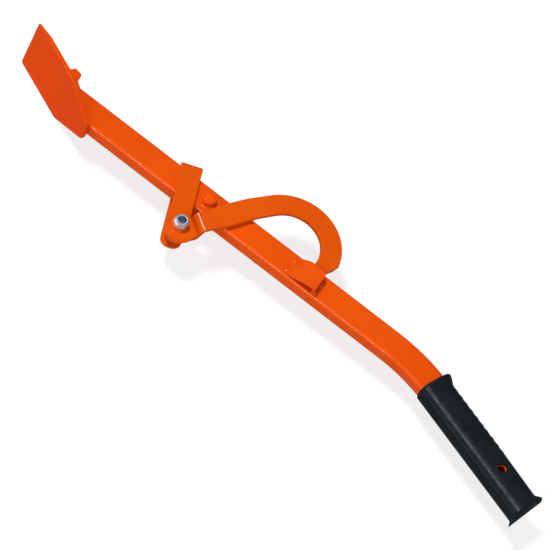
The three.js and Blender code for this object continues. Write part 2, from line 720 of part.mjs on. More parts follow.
function cantHook() {
  const heading = new THREE.Vector3(Math.cos(JOGGLE_HEADING), Math.sin(JOGGLE_HEADING), 0);
  const sideways = new THREE.Vector3().crossVectors(heading, ALONG_Z);
  const climb = HOOK_LIFT / Math.tan(JOGGLE_SLOPE);
  const middle = roundedPath(
    [
      point(-HOOK_EYE_RADIUS - OVERRUN, 0),
      point(JOGGLE_START, 0),
      point(JOGGLE_START + climb, HOOK_LIFT),
      point(HOOK_REACH, HOOK_LIFT),
    ],
    [JOGGLE_BEND, JOGGLE_BEND],
    BEND_STEPS,
  );
  const section = sheetSection(offsetPath(middle, -hookHalf), HOOK_THICKNESS);
  const start = pivot.clone().addScaledVector(sideways, -HOOK_REACH);
  const folded = slab(section, HOOK_REACH + HOOK_REACH, start, heading, ALONG_Z);

  // the arm's left edge leaves the eye where its line cuts the eye's circle
  const leftAngle = ARM_HEADING + Math.asin(ARM_LEFT / HOOK_EYE_RADIUS);
  const toLow = point(ARM_RIGHT_LOW_X - PIVOT_X, ARM_RIGHT_LOW_Y - PIVOT_Y);
  const rightAngle = toLow.angle() + Math.asin(HOOK_EYE_RADIUS / toLow.length()) - QUARTER_TURN;
  const ringStart = arc(RING_X, RING_Y, RING_INNER, RING_INNER_START, RING_INNER_START)[0];
  const armRight = new THREE.SplineCurve([
    point(ARM_RIGHT_LOW_X, ARM_RIGHT_LOW_Y),
    point(ARM_RIGHT_MID_X, ARM_RIGHT_MID_Y),
    point(ARM_RIGHT_TOP_X, ARM_RIGHT_TOP_Y),
    ringStart,
  ]).getPoints(ARM_RIGHT_STEPS);
  const heel = corner(
    point(NECK_X, NECK_Y),
    point(HEEL_X, HEEL_Y),
    arc(RING_X, RING_OUTER_Y, RING_OUTER, RING_OUTER_START, RING_OUTER_START)[0],
    HEEL_ROUND,
    CORNER_STEPS,
  );
  const armLeft = new THREE.SplineCurve([
    ...arc(RING_X, RING_OUTER_Y, RING_OUTER, RING_OUTER_END, RING_OUTER_END).slice(0, 1),
    point(ARM_BACK_X, ARM_BACK_Y),
    point(ARM_TOP_X, ARM_TOP_Y),
  ]).getPoints(ARM_LEFT_STEPS);
  const tipStart = Math.atan2(BEAK_TIP_Y - BEAK_LEFT_Y, BEAK_TIP_X - BEAK_LEFT_X) - QUARTER_TURN;
  const tipEnd = Math.atan2(NECK_Y - BEAK_TIP_Y, NECK_X - BEAK_TIP_X) - QUARTER_TURN;
  const outline = [
    ...arc(PIVOT_X, PIVOT_Y, HOOK_EYE_RADIUS, leftAngle, rightAngle + FULL_TURN),
    ...armRight.slice(0, -1),
    ...arc(RING_X, RING_Y, RING_INNER, RING_INNER_START, 0),
    point(BEAK_LEFT_X, BEAK_LEFT_Y),
    ...arc(BEAK_TIP_X, BEAK_TIP_Y, BEAK_TIP_RADIUS, tipStart, tipEnd),
    point(NECK_X, NECK_Y),
    ...heel,
    ...arc(RING_X, RING_OUTER_Y, RING_OUTER, RING_OUTER_START, RING_OUTER_END).slice(1),
    ...armLeft.slice(1),
  ];
  const high = HOOK_LIFT + HOOK_THICKNESS;
  return folded
    .intersect(plate(outline, -HOOK_THICKNESS, high))
    .subtract(turned(disc(eyeBore, -HOOK_THICKNESS, HOOK_THICKNESS), PIVOT_X, PIVOT_Y));
}

function tack(x, y, z) {
  const rise = TACK_RISE + SEAT_GAP;
  const slopes = spread(0, QUARTER_TURN, TACK_STEPS).slice(0, -1);
  const dome = slopes.map((slope) => point(TACK_RADIUS * Math.cos(slope), z + rise * Math.sin(slope)));
  return turned([point(0, z), ...dome, point(0, z + rise)], x, y);
}

// The pocket's hump, grown outward by the sheet's thickness for its skin
function keeperHump(grow, reach) {
  const foot = TUBE_SIDE + SEAT_GAP;
  const inside = HOOK_LIFT + hookHalf + KEEPER_CLEARANCE;
  const side = (y, wall, share) => {
    const climb = (wall - KEEPER_RAMP_START) * share;
    const setback = grow * Math.tan(Math.atan2(inside - foot, climb) * HALF);
    const start = KEEPER_RAMP_START - setback;
    return [
      new THREE.Vector3(start, y, foot - reach),
      new THREE.Vector3(start, y, foot + grow),
      new THREE.Vector3(start + climb, y, inside + grow),
      new THREE.Vector3(wall + grow, y, inside + grow),
      new THREE.Vector3(wall + grow, y, foot - reach),
    ];
  };
  return solid(new ConvexGeometry([
    ...side(KEEPER_HIGH + reach, KEEPER_WALL_HIGH, KEEPER_HIGH_RAMP_SHARE),
    ...side(KEEPER_LOW - reach, KEEPER_WALL_LOW, KEEPER_LOW_RAMP_SHARE),
  ]));
}

function keeper() {
  const foot = TUBE_SIDE + SEAT_GAP;
  const width = KEEPER_HIGH - KEEPER_LOW;
  const wallRight = (y) => {
    const share = (KEEPER_HIGH - y) / width;
    return KEEPER_THICKNESS + KEEPER_WALL_HIGH + (KEEPER_WALL_LOW - KEEPER_WALL_HIGH) * share;
  };
  const cornerLow = KEEPER_HIGH - KEEPER_CORNER;
  const above = HOOK_LIFT + HOOK_THICKNESS + KEEPER_THICKNESS;
  const cut = plate(
    [
      point(wallRight(cornerLow), cornerLow),
      point(wallRight(KEEPER_HIGH) + KEEPER_CORNER, cornerLow),
      point(wallRight(KEEPER_HIGH) + KEEPER_CORNER, KEEPER_HIGH + KEEPER_CORNER),
      point(wallRight(KEEPER_HIGH) - KEEPER_CORNER - KEEPER_CORNER, KEEPER_HIGH + KEEPER_CORNER),
    ],
    0,
    above + above,
  );
  const footSheet = plate(
    [
      point(KEEPER_LEFT, KEEPER_LOW),
      point(KEEPER_RAMP_START, KEEPER_LOW),
      point(KEEPER_RAMP_START, KEEPER_HIGH),
      point(KEEPER_LEFT, KEEPER_HIGH),
    ],
    foot,
    foot + KEEPER_THICKNESS,
  );
  const sheetTop = foot + KEEPER_THICKNESS - SEAT_GAP;
  const inset = TACK_RADIUS + TACK_RADIUS;
  const left = KEEPER_LEFT + TACK_RADIUS;
  const beside = TACK_RADIUS * HALF;
  const high = cornerLow - inset;
  const low = KEEPER_LOW + inset;
  return keeperHump(KEEPER_THICKNESS, 0)
    .add(footSheet)
    .subtract(keeperHump(0, OVERRUN))
    .subtract(cut)
    .add(tack(left, high, sheetTop))
    .add(tack(left, low, sheetTop))
    .add(tack(wallRight(high) + beside, high, foot))
    .add(tack(wallRight(low) + beside, low, foot));
}

function stopStud() {
  const base = TUBE_SIDE + SEAT_GAP;
  const top = base + STUD_HEIGHT;
  const grooveOut = STUD_RADIUS - STUD_GROOVE_WIDTH;
  const grooveIn = grooveOut - STUD_GROOVE_WIDTH;
  return turned(
    [
      point(0, base),
      point(STUD_RADIUS, base),
      point(STUD_RADIUS, top - STUD_GROOVE_DEPTH),
      point(STUD_RADIUS - STUD_GROOVE_DEPTH, top),
      point(grooveOut, top),
      point(grooveOut, top - STUD_GROOVE_DEPTH),
      point(grooveIn, top - STUD_GROOVE_DEPTH),
      point(grooveIn, top),
      point(0, top),
    ],
    STUD_X,
    STUD_Y,
  );
}

const group = new THREE.Group();
group.name = 'felling_lever';

function add(name, body, color, roughness, metalness) {
  const material = new THREE.MeshStandardMaterial({ color, roughness, metalness });
  const mesh = new THREE.Mesh(toGeometry(body), material);
  mesh.name = name;
  group.add(mesh);
}

const PAINT_ROUGHNESS = 0.4;
const PLATE_ROUGHNESS = 0.35;
const RUBBER_ROUGHNESS = 0.6;

add('shaft_tube', shaftTube(), ORANGE, PAINT_ROUGHNESS, 0);
add('spade_blade', spadeBlade(), ORANGE, PAINT_ROUGHNESS, 0);
add('blade_gusset', bladeGusset(), ORANGE, PAINT_ROUGHNESS, 0);
add('grip', grip(), BLACK, RUBBER_ROUGHNESS, 0);
add('keeper', keeper(), ORANGE, PAINT_ROUGHNESS, 0);
add('stop_stud', stopStud(), ORANGE, PAINT_ROUGHNESS, 0);
add('saddle_strap', saddleStrap(), ORANGE, PAINT_ROUGHNESS, 0);
add('pivot_bolt', pivotBolt(), ZINC, PLATE_ROUGHNESS, 1);
add('pivot_nut', pivotNut(), ZINC, PLATE_ROUGHNESS, 1);
add('nut_ring', nutRing(), NYLON, RUBBER_ROUGHNESS, 0);
add('washer_front', washer(washerIn, washerOut), ZINC, PLATE_ROUGHNESS, 1);
add('washer_back', washer(-washerOut, -washerIn), ZINC, PLATE_ROUGHNESS, 1);
add('spacer_front', spacer(spacerIn, spacerOut), ZINC, PLATE_ROUGHNESS, 1);
add('spacer_back', spacer(-spacerOut, -spacerIn), ZINC, PLATE_ROUGHNESS, 1);
add('cant_hook', cantHook(), ORANGE, PAINT_ROUGHNESS, 0);
add('hook_bush', hookBush(), BRONZE, PLATE_ROUGHNESS, 1);

// The middle of the lever's box, at its lowest height, becomes the origin
const box = new THREE.Box3().setFromObject(group);
const shift = box.getCenter(new THREE.Vector3()).negate();
shift.z = -box.min.z;
for (const mesh of group.children) {
  mesh.geometry.translate(shift.x, shift.y, shift.z);
}

// Joint places in the finished frame
const hinge = (x, y) => [x + shift.x, y + shift.y, shift.z];
group.userData.hinges = {
  saddle_rock: hinge(rockPoint.x, rockPoint.y),
  hook_pivot: hinge(PIVOT_X, PIVOT_Y),
};

export default group;
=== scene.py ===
"""Looks of the felling lever: finishes, welds, thread and grip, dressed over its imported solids."""

import math

import bmesh
import bpy
from mathutils import Matrix, Vector, noise

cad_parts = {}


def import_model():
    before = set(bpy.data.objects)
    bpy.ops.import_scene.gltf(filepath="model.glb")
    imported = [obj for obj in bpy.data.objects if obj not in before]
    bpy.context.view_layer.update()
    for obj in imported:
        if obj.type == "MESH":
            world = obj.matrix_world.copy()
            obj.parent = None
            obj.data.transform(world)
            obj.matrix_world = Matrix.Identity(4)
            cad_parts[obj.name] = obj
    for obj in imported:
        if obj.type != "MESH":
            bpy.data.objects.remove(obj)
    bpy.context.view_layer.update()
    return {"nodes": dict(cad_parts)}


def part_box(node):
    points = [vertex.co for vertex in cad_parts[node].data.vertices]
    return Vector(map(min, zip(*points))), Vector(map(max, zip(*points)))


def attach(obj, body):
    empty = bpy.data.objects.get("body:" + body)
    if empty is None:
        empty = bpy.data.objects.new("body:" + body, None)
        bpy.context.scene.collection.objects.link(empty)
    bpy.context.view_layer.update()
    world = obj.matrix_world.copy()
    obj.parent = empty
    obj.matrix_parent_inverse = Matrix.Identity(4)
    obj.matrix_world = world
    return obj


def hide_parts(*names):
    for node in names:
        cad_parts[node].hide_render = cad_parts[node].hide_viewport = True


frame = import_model()
MM = 0.001

# Places measured from the crossing of tube and keeper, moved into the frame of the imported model
SHIFT = Vector((-18.691879, 7.34375, 43.7))

# Sizes of the lever that the added pieces follow, in millimetres
TUBE_DEPTH = 35
TUBE_WIDTH = 20
TUBE_CORNER = 4
BEND_START = 165
BEND_RADIUS = 250
BEND_ANGLE = math.radians(18)
BLADE_TOE = Vector((-378.8, 30.5))
BLADE_TILT = math.radians(25)
BLADE_SEAT = 4.9  # blade's thickness and the gap under it
GUSSET_THICKNESS = 6
GUSSET_FOOT = 45
GUSSET_BACK = 9
PIVOT = Vector((-105, -51.9))
STUD = Vector((-100, 0))
STUD_RADIUS = 8.4
TUBE_SIDE = TUBE_WIDTH / 2
TUBE_TOP = TUBE_DEPTH / 2
SEAT_GAP = 0.3  # between two solids that touch


def place(x, y, z):
    return (Vector((x, y, z)) + SHIFT) * MM


# ---- materials


def new_material(name, **plain):
    """A material whose Principled shader holds the plain values on its own sockets."""
    material = bpy.data.materials.new(name)
    material.use_nodes = True
    tree = material.node_tree
    shader = tree.nodes["Principled BSDF"]
    for socket, value in plain.items():
        shader.inputs[socket.replace("_", " ")].default_value = value
    return material, tree, shader


def add_node(tree, kind, values=None, **settings):
    node = tree.nodes.new(kind)
    for key, value in settings.items():
        setattr(node, key, value)
    for socket, value in (values or {}).items():
        if isinstance(value, bpy.types.NodeSocket):
            tree.links.new(value, node.inputs[socket])
        else:
            node.inputs[socket].default_value = value
    return node


def noise_of(tree, scale, detail=2.0, roughness=0.5, stretch=None):
    coordinates = add_node(tree, "ShaderNodeTexCoord").outputs["Object"]
    if stretch:
        mapping = add_node(tree, "ShaderNodeMapping", {"Vector": coordinates, "Scale": stretch})
        coordinates = mapping.outputs["Vector"]
    values = {"Vector": coordinates, "Scale": scale, "Detail": detail, "Roughness": roughness}
    return add_node(tree, "ShaderNodeTexNoise", values).outputs["Fac"]


def remap(tree, value, from_low, from_high, to_low, to_high):
    values = {
        "Value": value,
        "From Min": from_low,
        "From Max": from_high,
        "To Min": to_low,
        "To Max": to_high,
    }
    return add_node(tree, "ShaderNodeMapRange", values, clamp=True).outputs["Result"]


def multiply(tree, a, b):
    node = add_node(tree, "ShaderNodeMath", operation="MULTIPLY")
    for socket, value in zip(node.inputs, (a, b)):
        if isinstance(value, bpy.types.NodeSocket):
            tree.links.new(value, socket)
        else:
            socket.default_value = value
    return node.outputs["Value"]


def mix_colour(tree, share, a, b):
    node = add_node(tree, "ShaderNodeMix", data_type="RGBA")
    sockets = {"Factor": share, "A": a, "B": b}
    for socket in node.inputs:
        if socket.name in sockets and (socket.type == "RGBA" or socket.name == "Factor"):
            value = sockets[socket.name]
            if socket.name == "Factor" and socket.type != "VALUE":
                continue
            if isinstance(value, bpy.types.NodeSocket):
                tree.links.new(value, socket)
            else:
                socket.default_value = value
    return next(s for s in node.outputs if s.type == "RGBA")


def bump(tree, shader, height, distance, strength=1.0, after=None):
    values = {"Height": height, "Distance": distance, "Strength": strength}
    if after:
        values["Normal"] = after
    normal = add_node(tree, "ShaderNodeBump", values).outputs["Normal"]
    tree.links.new(normal, shader.inputs["Normal"])
    return normal


def edge_share(tree):
    """One on the rounded edges that the mesh code marked, zero elsewhere."""
    return add_node(tree, "ShaderNodeAttribute", attribute_name="edge").outputs["Fac"]


def rgb(red, green, blue):
    return (red, green, blue, 1.0)


def paint_material(name, body, deep, wear_and_highlight, peel, coat=0.35):
    material, tree, shader = new_material(
        name, Specular_IOR_Level=0.03, Coat_Weight=coat, Coat_Roughness=0.13
    )
    clouds = remap(tree, noise_of(tree, 9, 3), 0.35, 0.65, 0, 1)
    colour = mix_colour(tree, clouds, body, deep)
    specks = remap(tree, noise_of(tree, 2600, 2), 0.66, 0.72, 0, 0.22)
    colour = mix_colour(tree, specks, colour, deep)
    patches = remap(tree, noise_of(tree, 130, 4, 0.65), 0.52, 0.62, 0.15, 1)
    # the marked edges turn paler: a worn, thin coat and a painted highlight along the rounded edges
    worn_and_highlit_share = multiply(tree, multiply(tree, edge_share(tree), patches), wear_and_highlight)
    colour = mix_colour(tree, worn_and_highlit_share, colour, EDGE_ORANGE_WORN_AND_HIGHLIT)
    tree.links.new(colour, shader.inputs["Base Color"])
    gloss = remap(tree, noise_of(tree, 60, 3), 0.3, 0.7, 0.3, 0.42)
    tree.links.new(gloss, shader.inputs["Roughness"])
    coarse = bump(tree, shader, noise_of(tree, 420, 1), 0.00004, peel)
    bump(tree, shader, noise_of(tree, 1500, 2), 0.00001, peel, after=coarse)
    return material


ORANGE = rgb(0.80, 0.086, 0.0004)
ORANGE_DEEP = rgb(0.73, 0.074, 0.0004)
# pale orange of the rounded edges: worn thin coat, with a painted edge highlight
EDGE_ORANGE_WORN_AND_HIGHLIT = rgb(0.86, 0.13, 0.010)
BLADE_ORANGE = rgb(0.80, 0.068, 0.0003)
BLADE_ORANGE_DEEP = rgb(0.72, 0.058, 0.0003)
PLATE_ORANGE = rgb(0.73, 0.089, 0.0006)
PLATE_ORANGE_DEEP = rgb(0.66, 0.078, 0.0005)
# the welds' orange is paler than the body paint: a painted highlight on the beads
WELD_ORANGE_HIGHLIT = rgb(0.95, 0.15, 0.015)
WELD_ORANGE_HIGHLIT_DEEP = rgb(0.86, 0.12, 0.009)

paint = paint_material("orange_powder_coat", ORANGE, ORANGE_DEEP, 0.4, 0.5)
blade_paint = paint_material(
    "orange_blade_coat", BLADE_ORANGE, BLADE_ORANGE_DEEP, 0.5, 0.6, coat=0.08
)
plate_paint = paint_material("orange_plate_coat", PLATE_ORANGE, PLATE_ORANGE_DEEP, 0.4, 0.5)
weld_paint = paint_material(
    "orange_weld_coat", WELD_ORANGE_HIGHLIT, WELD_ORANGE_HIGHLIT_DEEP, 0.4, 0.7, coat=1.0
)


def zinc_material(name, pale, deep, metallic):
    material, tree, shader = new_material(name, Metallic=metallic)
    blotches = remap(tree, noise_of(tree, 240, 3), 0.35, 0.65, 0, 1)
    colour = mix_colour(tree, blotches, pale, deep)
    worn = multiply(tree, edge_share(tree), 0.5)
    colour = mix_colour(tree, worn, colour, rgb(0.82, 0.83, 0.86))
    tree.links.new(colour, shader.inputs["Base Color"])
    gloss = remap(tree, noise_of(tree, 500, 3), 0.3, 0.7, 0.24, 0.38)
    tree.links.new(gloss, shader.inputs["Roughness"])
    bump(tree, shader, noise_of(tree, 1800, 2), 0.00001, 0.4)
    return material


def nylon_material():
    material, tree, shader = new_material("nylon_ring", Subsurface_Weight=0.05)
    blotches = remap(tree, noise_of(tree, 700, 2), 0.35, 0.65, 0, 1)
    colour = mix_colour(tree, blotches, rgb(0.50, 0.56, 0.72), rgb(0.40, 0.46, 0.64))
    tree.links.new(colour, shader.inputs["Base Color"])
    gloss = remap(tree, noise_of(tree, 900, 2), 0.3, 0.7, 0.4, 0.55)
    tree.links.new(gloss, shader.inputs["Roughness"])
    bump(tree, shader, noise_of(tree, 2500, 2), 0.00001, 0.5)
    return material


def bronze_material():
    material, tree, shader = new_material("bearing_bronze", Metallic=1.0)
    turned = noise_of(tree, 300, 2, stretch=(1, 1, 20))
    streaks = remap(tree, turned, 0.3, 0.7, 0, 1)
    colour = mix_colour(tree, streaks, rgb(0.42, 0.25, 0.1), rgb(0.3, 0.17, 0.07))
    tree.links.new(colour, shader.inputs["Base Color"])
    gloss = remap(tree, turned, 0.3, 0.7, 0.3, 0.45)
    tree.links.new(gloss, shader.inputs["Roughness"])
    bump(tree, shader, turned, 0.00002, 0.5)
    return material


def rubber_material():
    material, tree, shader = new_material("grip_rubber", Specular_IOR_Level=0.12)
    clouds = remap(tree, noise_of(tree, 24, 4), 0.35, 0.65, 0, 1)
    colour = mix_colour(tree, clouds, rgb(0.0058, 0.0088, 0.0125), rgb(0.0088, 0.0128, 0.0178))
    edges = edge_share(tree)
    rubbed = multiply(tree, edges, remap(tree, noise_of(tree, 180, 4), 0.45, 0.6, 0.2, 1))
    colour = mix_colour(tree, rubbed, colour, rgb(0.022, 0.026, 0.036))
    tree.links.new(colour, shader.inputs["Base Color"])
    gloss = remap(tree, noise_of(tree, 160, 4), 0.35, 0.65, 0.26, 0.46)
    tree.links.new(gloss, shader.inputs["Roughness"])
    grain = add_node(
        tree,
        "ShaderNodeTexVoronoi",
        {"Vector": add_node(tree, "ShaderNodeTexCoord").outputs["Object"], "Scale": 1100.0},
    ).outputs["Distance"]
    pebbles = bump(tree, shader, grain, 0.00004, 0.35)
    bump(tree, shader, noise_of(tree, 3000, 2), 0.00001, 0.4, after=pebbles)
    return material


zinc = zinc_material("zinc_plate", rgb(0.74, 0.76, 0.84), rgb(0.58, 0.61, 0.70), 0.72)
# the bolt's zinc is dark blue-grey: painted shade on the bolt's end, sunk in the nut
bolt_zinc_painted_shade = zinc_material("zinc_bolt_painted_shade", rgb(0.16, 0.19, 0.30), rgb(0.09, 0.11, 0.19), 0.9)
nylon = nylon_material()
bronze = bronze_material()
rubber = rubber_material()

# ---- mesh code

SHARP = math.radians(34)
SAME_PLANE = math.radians(0.4)
SAME_POINT = 0.002


def finish_mesh(
    bm, name, material, body, edge_faces=(), replaces=None, weighted=True, sharp=None
):
    """Makes the bmesh a piece that rides on its body, with its rounded edges marked for worn colour
    and painted highlights.
    """
    marked = {face.index for face in edge_faces}
    mesh = bpy.data.meshes.new(name)
    bm.to_mesh(mesh)
    bm.free()
    edge = mesh.attributes.new("edge", "FLOAT", "CORNER")
    for polygon in mesh.polygons:
        polygon.use_smooth = True
        if polygon.index in marked:
            for corner in polygon.loop_indices:
                edge.data[corner].value = 1.0
    mesh.set_sharp_from_angle(angle=sharp or SHARP)
    mesh.materials.append(material)
    piece = bpy.data.objects.new(name, mesh)
    bpy.context.scene.collection.objects.link(piece)
    if weighted:
        modifier = piece.modifiers.new("even_normals", "WEIGHTED_NORMAL")
        modifier.keep_sharp = True
    if replaces:
        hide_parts(replaces)
    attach(piece, body)
    return piece


def round_edges(bm, width, segments):
    """Rounds every sharp edge and returns the new faces."""
    sharp = [
        edge
        for edge in bm.edges
        if len(edge.link_faces) == 2 and edge.calc_face_angle() > SHARP
    ]
    made = bmesh.ops.bevel(
        bm,
        geom=sharp,
        offset=width * MM,
        offset_type="OFFSET",
        segments=segments,
        profile=0.5,
        affect="EDGES",
        clamp_overlap=True,
    )
    bm.normal_update()
    bm.faces.index_update()
    return made["faces"]


def dress(node, name, material, body, width, segments=3, sharp=None):
    """A copy of a CAD node with rounded edges, which stands for the node."""
    bm = bmesh.new()
    bm.from_mesh(frame["nodes"][node].data)
    bmesh.ops.remove_doubles(bm, verts=bm.verts, dist=SAME_POINT * MM)
    bmesh.ops.dissolve_limit(
        bm, angle_limit=SAME_PLANE, use_dissolve_boundaries=False, verts=bm.verts, edges=bm.edges
    )
    rounded = round_edges(bm, width, segments)
    return finish_mesh(bm, name, material, body, rounded, replaces=node, sharp=sharp)


def loft(bm, rings, cap=True):
    """Joins closed rings of points into a skin."""
    rows = [[bm.verts.new(p) for p in ring] for ring in rings]
    count = len(rows[0])
    for low, high in zip(rows, rows[1:]):
        for i in range(count):
            j = (i + 1) % count
            bm.faces.new((low[i], low[j], high[j], high[i]))
    if cap:
        bm.faces.new(list(reversed(rows[0])))
        bm.faces.new(rows[-1])
    return rows


def along(path):
    """Distances from the start of a path to each of its points."""
    distances = [0.0]
    for a, b in zip(path, path[1:]):
        distances.append(distances[-1] + (b - a).length)
    return distances


def resample(path, step, closed=False):
    points = path + [path[0]] if closed else path
    distances = along(points)
    total = distances[-1]
    count = max(2, round(total / step))
    result = []
    k = 0
    for i in range(count if closed else count + 1):
        want = total * i / count
        while k < len(distances) - 2 and distances[k + 1] < want:
            k += 1
        span = distances[k + 1] - distances[k]
        share = (want - distances[k]) / span if span else 0
        result.append(points[k].lerp(points[k + 1], share))
    return result


BEAD_SIDES = 12
BEAD_STEP = 0.45
# shares of a bead's radius
BEAD_PITCH = 0.95
BEAD_LEAN = 0.35
BEAD_BREADTH = 1.12
BEAD_HEIGHT = 0.8
BEAD_VALLEY = 0.93
BEAD_SCALE = 0.13
BEAD_WOBBLE = 0.1


def bead_rings(path, radius, outward, seed, closed):
    """Rings of a weld bead: overlapping scales that swell and fall along the path."""
    points = resample(path, BEAD_STEP, closed)
    count = len(points)
    pitch = radius * BEAD_PITCH
    rings = []
    for i, point in enumerate(points):
        before = points[i - 1] if i or closed else points[0]
        after = points[(i + 1) % count] if i < count - 1 or closed else points[-1]
        ahead = (after - before).normalized()
        out = outward(point) if callable(outward) else outward
        side = ahead.cross(out).normalized()
        up = side.cross(ahead).normalized()
        scale = (i * BEAD_STEP / pitch) % 1.0
        wobble = noise.noise(Vector((seed, i * BEAD_STEP * 0.35, 0)))
        hump = math.sqrt(1 - (scale * 2 - 1) ** 2 * 0.9)
        swell = radius * (BEAD_VALLEY + BEAD_SCALE * hump + BEAD_WOBBLE * wobble)
        if not closed:
            near_end = min(i, count - 1 - i) * BEAD_STEP / radius
            swell *= math.sqrt(max(0.12, 1 - max(0, 1 - near_end) ** 2))
        ring = []
        for k in range(BEAD_SIDES):
            angle = 2 * math.pi * k / BEAD_SIDES
            # the scales lean back like a row of coins
            lean = ahead * (BEAD_LEAN * radius * math.cos(angle))
            sideways = side * math.sin(angle) * swell * BEAD_BREADTH
            upward = up * math.cos(angle) * swell * BEAD_HEIGHT
            ring.append(place(*(point + (sideways + upward) - lean)))
        rings.append(ring)
    return rings


def bead(name, path, radius, outward, seed, closed=False):
    """A weld bead on the lever body."""
    bm = bmesh.new()
    rings = bead_rings(path, radius, outward, seed, closed)
    if closed:
        rows = loft(bm, rings, cap=False)
        count = len(rows[0])
        for i in range(count):
            j = (i + 1) % count
            bm.faces.new((rows[-1][i], rows[-1][j], rows[0][j], rows[0][i]))
    else:
        loft(bm, rings)
    bmesh.ops.recalc_face_normals(bm, faces=bm.faces)
    return finish_mesh(bm, name, weld_paint, "lever", weighted=False)


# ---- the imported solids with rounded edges

KEEPER_SHARP = math.radians(14)

dress("shaft_tube", "tube_painted", paint, "lever", 0.35)
dress("spade_blade", "blade_painted", blade_paint, "lever", 0.8)
dress("blade_gusset", "gusset_painted", paint, "lever", 0.6)
dress("keeper", "keeper_painted", paint, "lever", 0.6, sharp=KEEPER_SHARP)
dress("saddle_strap", "strap_painted", plate_paint, "saddle", 0.5)
dress("cant_hook", "hook_painted", plate_paint, "hook", 0.7)
dress("pivot_nut", "nut_zinc", zinc, "saddle", 0.25)
dress("washer_front", "washer_front_painted", plate_paint, "saddle", 0.3)
dress("washer_back", "washer_back_zinc", zinc, "saddle", 0.3)
dress("spacer_front", "spacer_front_zinc", zinc, "saddle", 0.25)
dress("spacer_back", "spacer_back_zinc", zinc, "saddle", 0.25)
dress("nut_ring", "nut_ring_nylon", nylon, "saddle", 0.12)
dress("hook_bush", "bush_bronze", bronze, "hook", 0.12)


# ---- welds of blade and gusset

TUBE_CORNER_STEPS = 6


def tube_outline(grow):
    """Points round the tube's section: across, out of its side."""
    reach = TUBE_CORNER + grow
    points = []
    for sx, sy, start in ((1, 1, 0), (-1, 1, 90), (-1, -1, 180), (1, -1, 270)):
        cx, cy = sx * (TUBE_TOP - TUBE_CORNER), sy * (TUBE_SIDE - TUBE_CORNER)
        for step in range(TUBE_CORNER_STEPS + 1):
            angle = math.radians(start + 90 / TUBE_CORNER_STEPS * step)
            points.append(Vector((cx + reach * math.cos(angle), cy + reach * math.sin(angle))))
    return points


def blade_joint(grow):
    """The line where the tube's skin meets the blade's back."""
    path = []
    for across in tube_outline(grow):
        y, z = across
        rise = BLADE_SEAT + grow - (y - BLADE_TOE.y) * math.cos(BLADE_TILT)
        path.append(Vector((BLADE_TOE.x + rise / math.sin(BLADE_TILT), y, z)))
    return path


def from_tube_axis(point):
    return Vector((0.3, point.y / TUBE_TOP, point.z / TUBE_SIDE)).normalized()


BLADE_WELD_GROW = 0.5
BLADE_WELD_RADIUS = 1.9
GUSSET_WELD_OUT = 0.4
GUSSET_FOOT_WELD_START = 4
GUSSET_FOOT_WELD_SHORT = 1.5
GUSSET_FOOT_WELD_RADIUS = 1.5
GUSSET_BACK_WELD_START = 2
GUSSET_BACK_WELD_SHORT = 1
GUSSET_BACK_WELD_RADIUS = 1.4

blade_line = blade_joint(BLADE_WELD_GROW)
bead("weld_blade_tube", blade_line, BLADE_WELD_RADIUS, from_tube_axis, seed=3.1, closed=True)


def blade_corner():
    """The corner that the blade's back and the tube's top make."""
    rise = BLADE_TOE.y + BLADE_SEAT * math.cos(BLADE_TILT) - TUBE_TOP - SEAT_GAP
    back = rise / math.sin(BLADE_TILT)
    x = BLADE_TOE.x + back * math.cos(BLADE_TILT) + BLADE_SEAT * math.sin(BLADE_TILT)
    return Vector((x, TUBE_TOP + SEAT_GAP))


def gusset_welds():
    corner = blade_corner()
    blade_up = Vector((-math.cos(BLADE_TILT), math.sin(BLADE_TILT)))
    foot_y = corner.y + GUSSET_WELD_OUT
    foot_end = corner.x + GUSSET_FOOT - GUSSET_FOOT_WELD_SHORT
    back_start = corner + blade_up * GUSSET_BACK_WELD_START
    back_end = corner + blade_up * (GUSSET_BACK - GUSSET_BACK_WELD_SHORT)
    for side, sign in (("near", 1), ("far", -1)):
        z = sign * (GUSSET_THICKNESS / 2 + GUSSET_WELD_OUT)
        foot = [
            Vector((corner.x + GUSSET_FOOT_WELD_START, foot_y, z)),
            Vector((foot_end, foot_y, z)),
        ]
        outward = Vector((0, 1, sign))
        bead("weld_gusset_foot_" + side, foot, GUSSET_FOOT_WELD_RADIUS, outward, seed=5 + sign)
        back = [Vector((*back_start, z)), Vector((*back_end, z))]
        outward = Vector((0.5, 1, sign))
        bead("weld_gusset_back_" + side, back, GUSSET_BACK_WELD_RADIUS, outward, seed=8 + sign)


gusset_welds()

# ---- keeper's welds

KEEPER_WELD_RADIUS = 1.5
KEEPER_WELD_Z = TUBE_SIDE + 0.5
# name, place along the tube, place across it, half the length
KEEPER_WELDS = (
    ("foot_high", 21.2, 5.6, 2.2),
    ("foot_low", 21.2, -10.4, 2.2),
    ("wall_high", 62.2, 1.2, 1.6),
    ("wall_low", 63.4, -12.4, 1.6),
)
for tag, x, y, half in KEEPER_WELDS:
    line = [Vector((x, y - half, KEEPER_WELD_Z)), Vector((x, y + half, KEEPER_WELD_Z))]
    bead("weld_keeper_" + tag, line, KEEPER_WELD_RADIUS, Vector((0, 0, 1)), seed=14 + x)

# ---- stop stud and its welds

# the weld leaves the side free that the strap's leg swings against
STUD_WELD_OUT = 0.3
STUD_WELD_LIFT = 0.5
STUD_WELD_START = -74
STUD_WELD_TURN = 210
STUD_WELD_STEPS = 30
STUD_WELD_RADIUS = 1.3
STUD_DAB_LIFT = 0.2
STUD_DAB_RADIUS = 1.1


def stud_weld_path():
    radius = STUD_RADIUS + STUD_WELD_OUT
    path = []
    for k in range(STUD_WELD_STEPS + 1):
        angle = math.radians(STUD_WELD_START + STUD_WELD_TURN * k / STUD_WELD_STEPS)
        x, y = STUD.x + radius * math.cos(angle), STUD.y + radius * math.sin(angle)
        path.append(Vector((x, y, TUBE_SIDE + STUD_WELD_LIFT)))
    return path


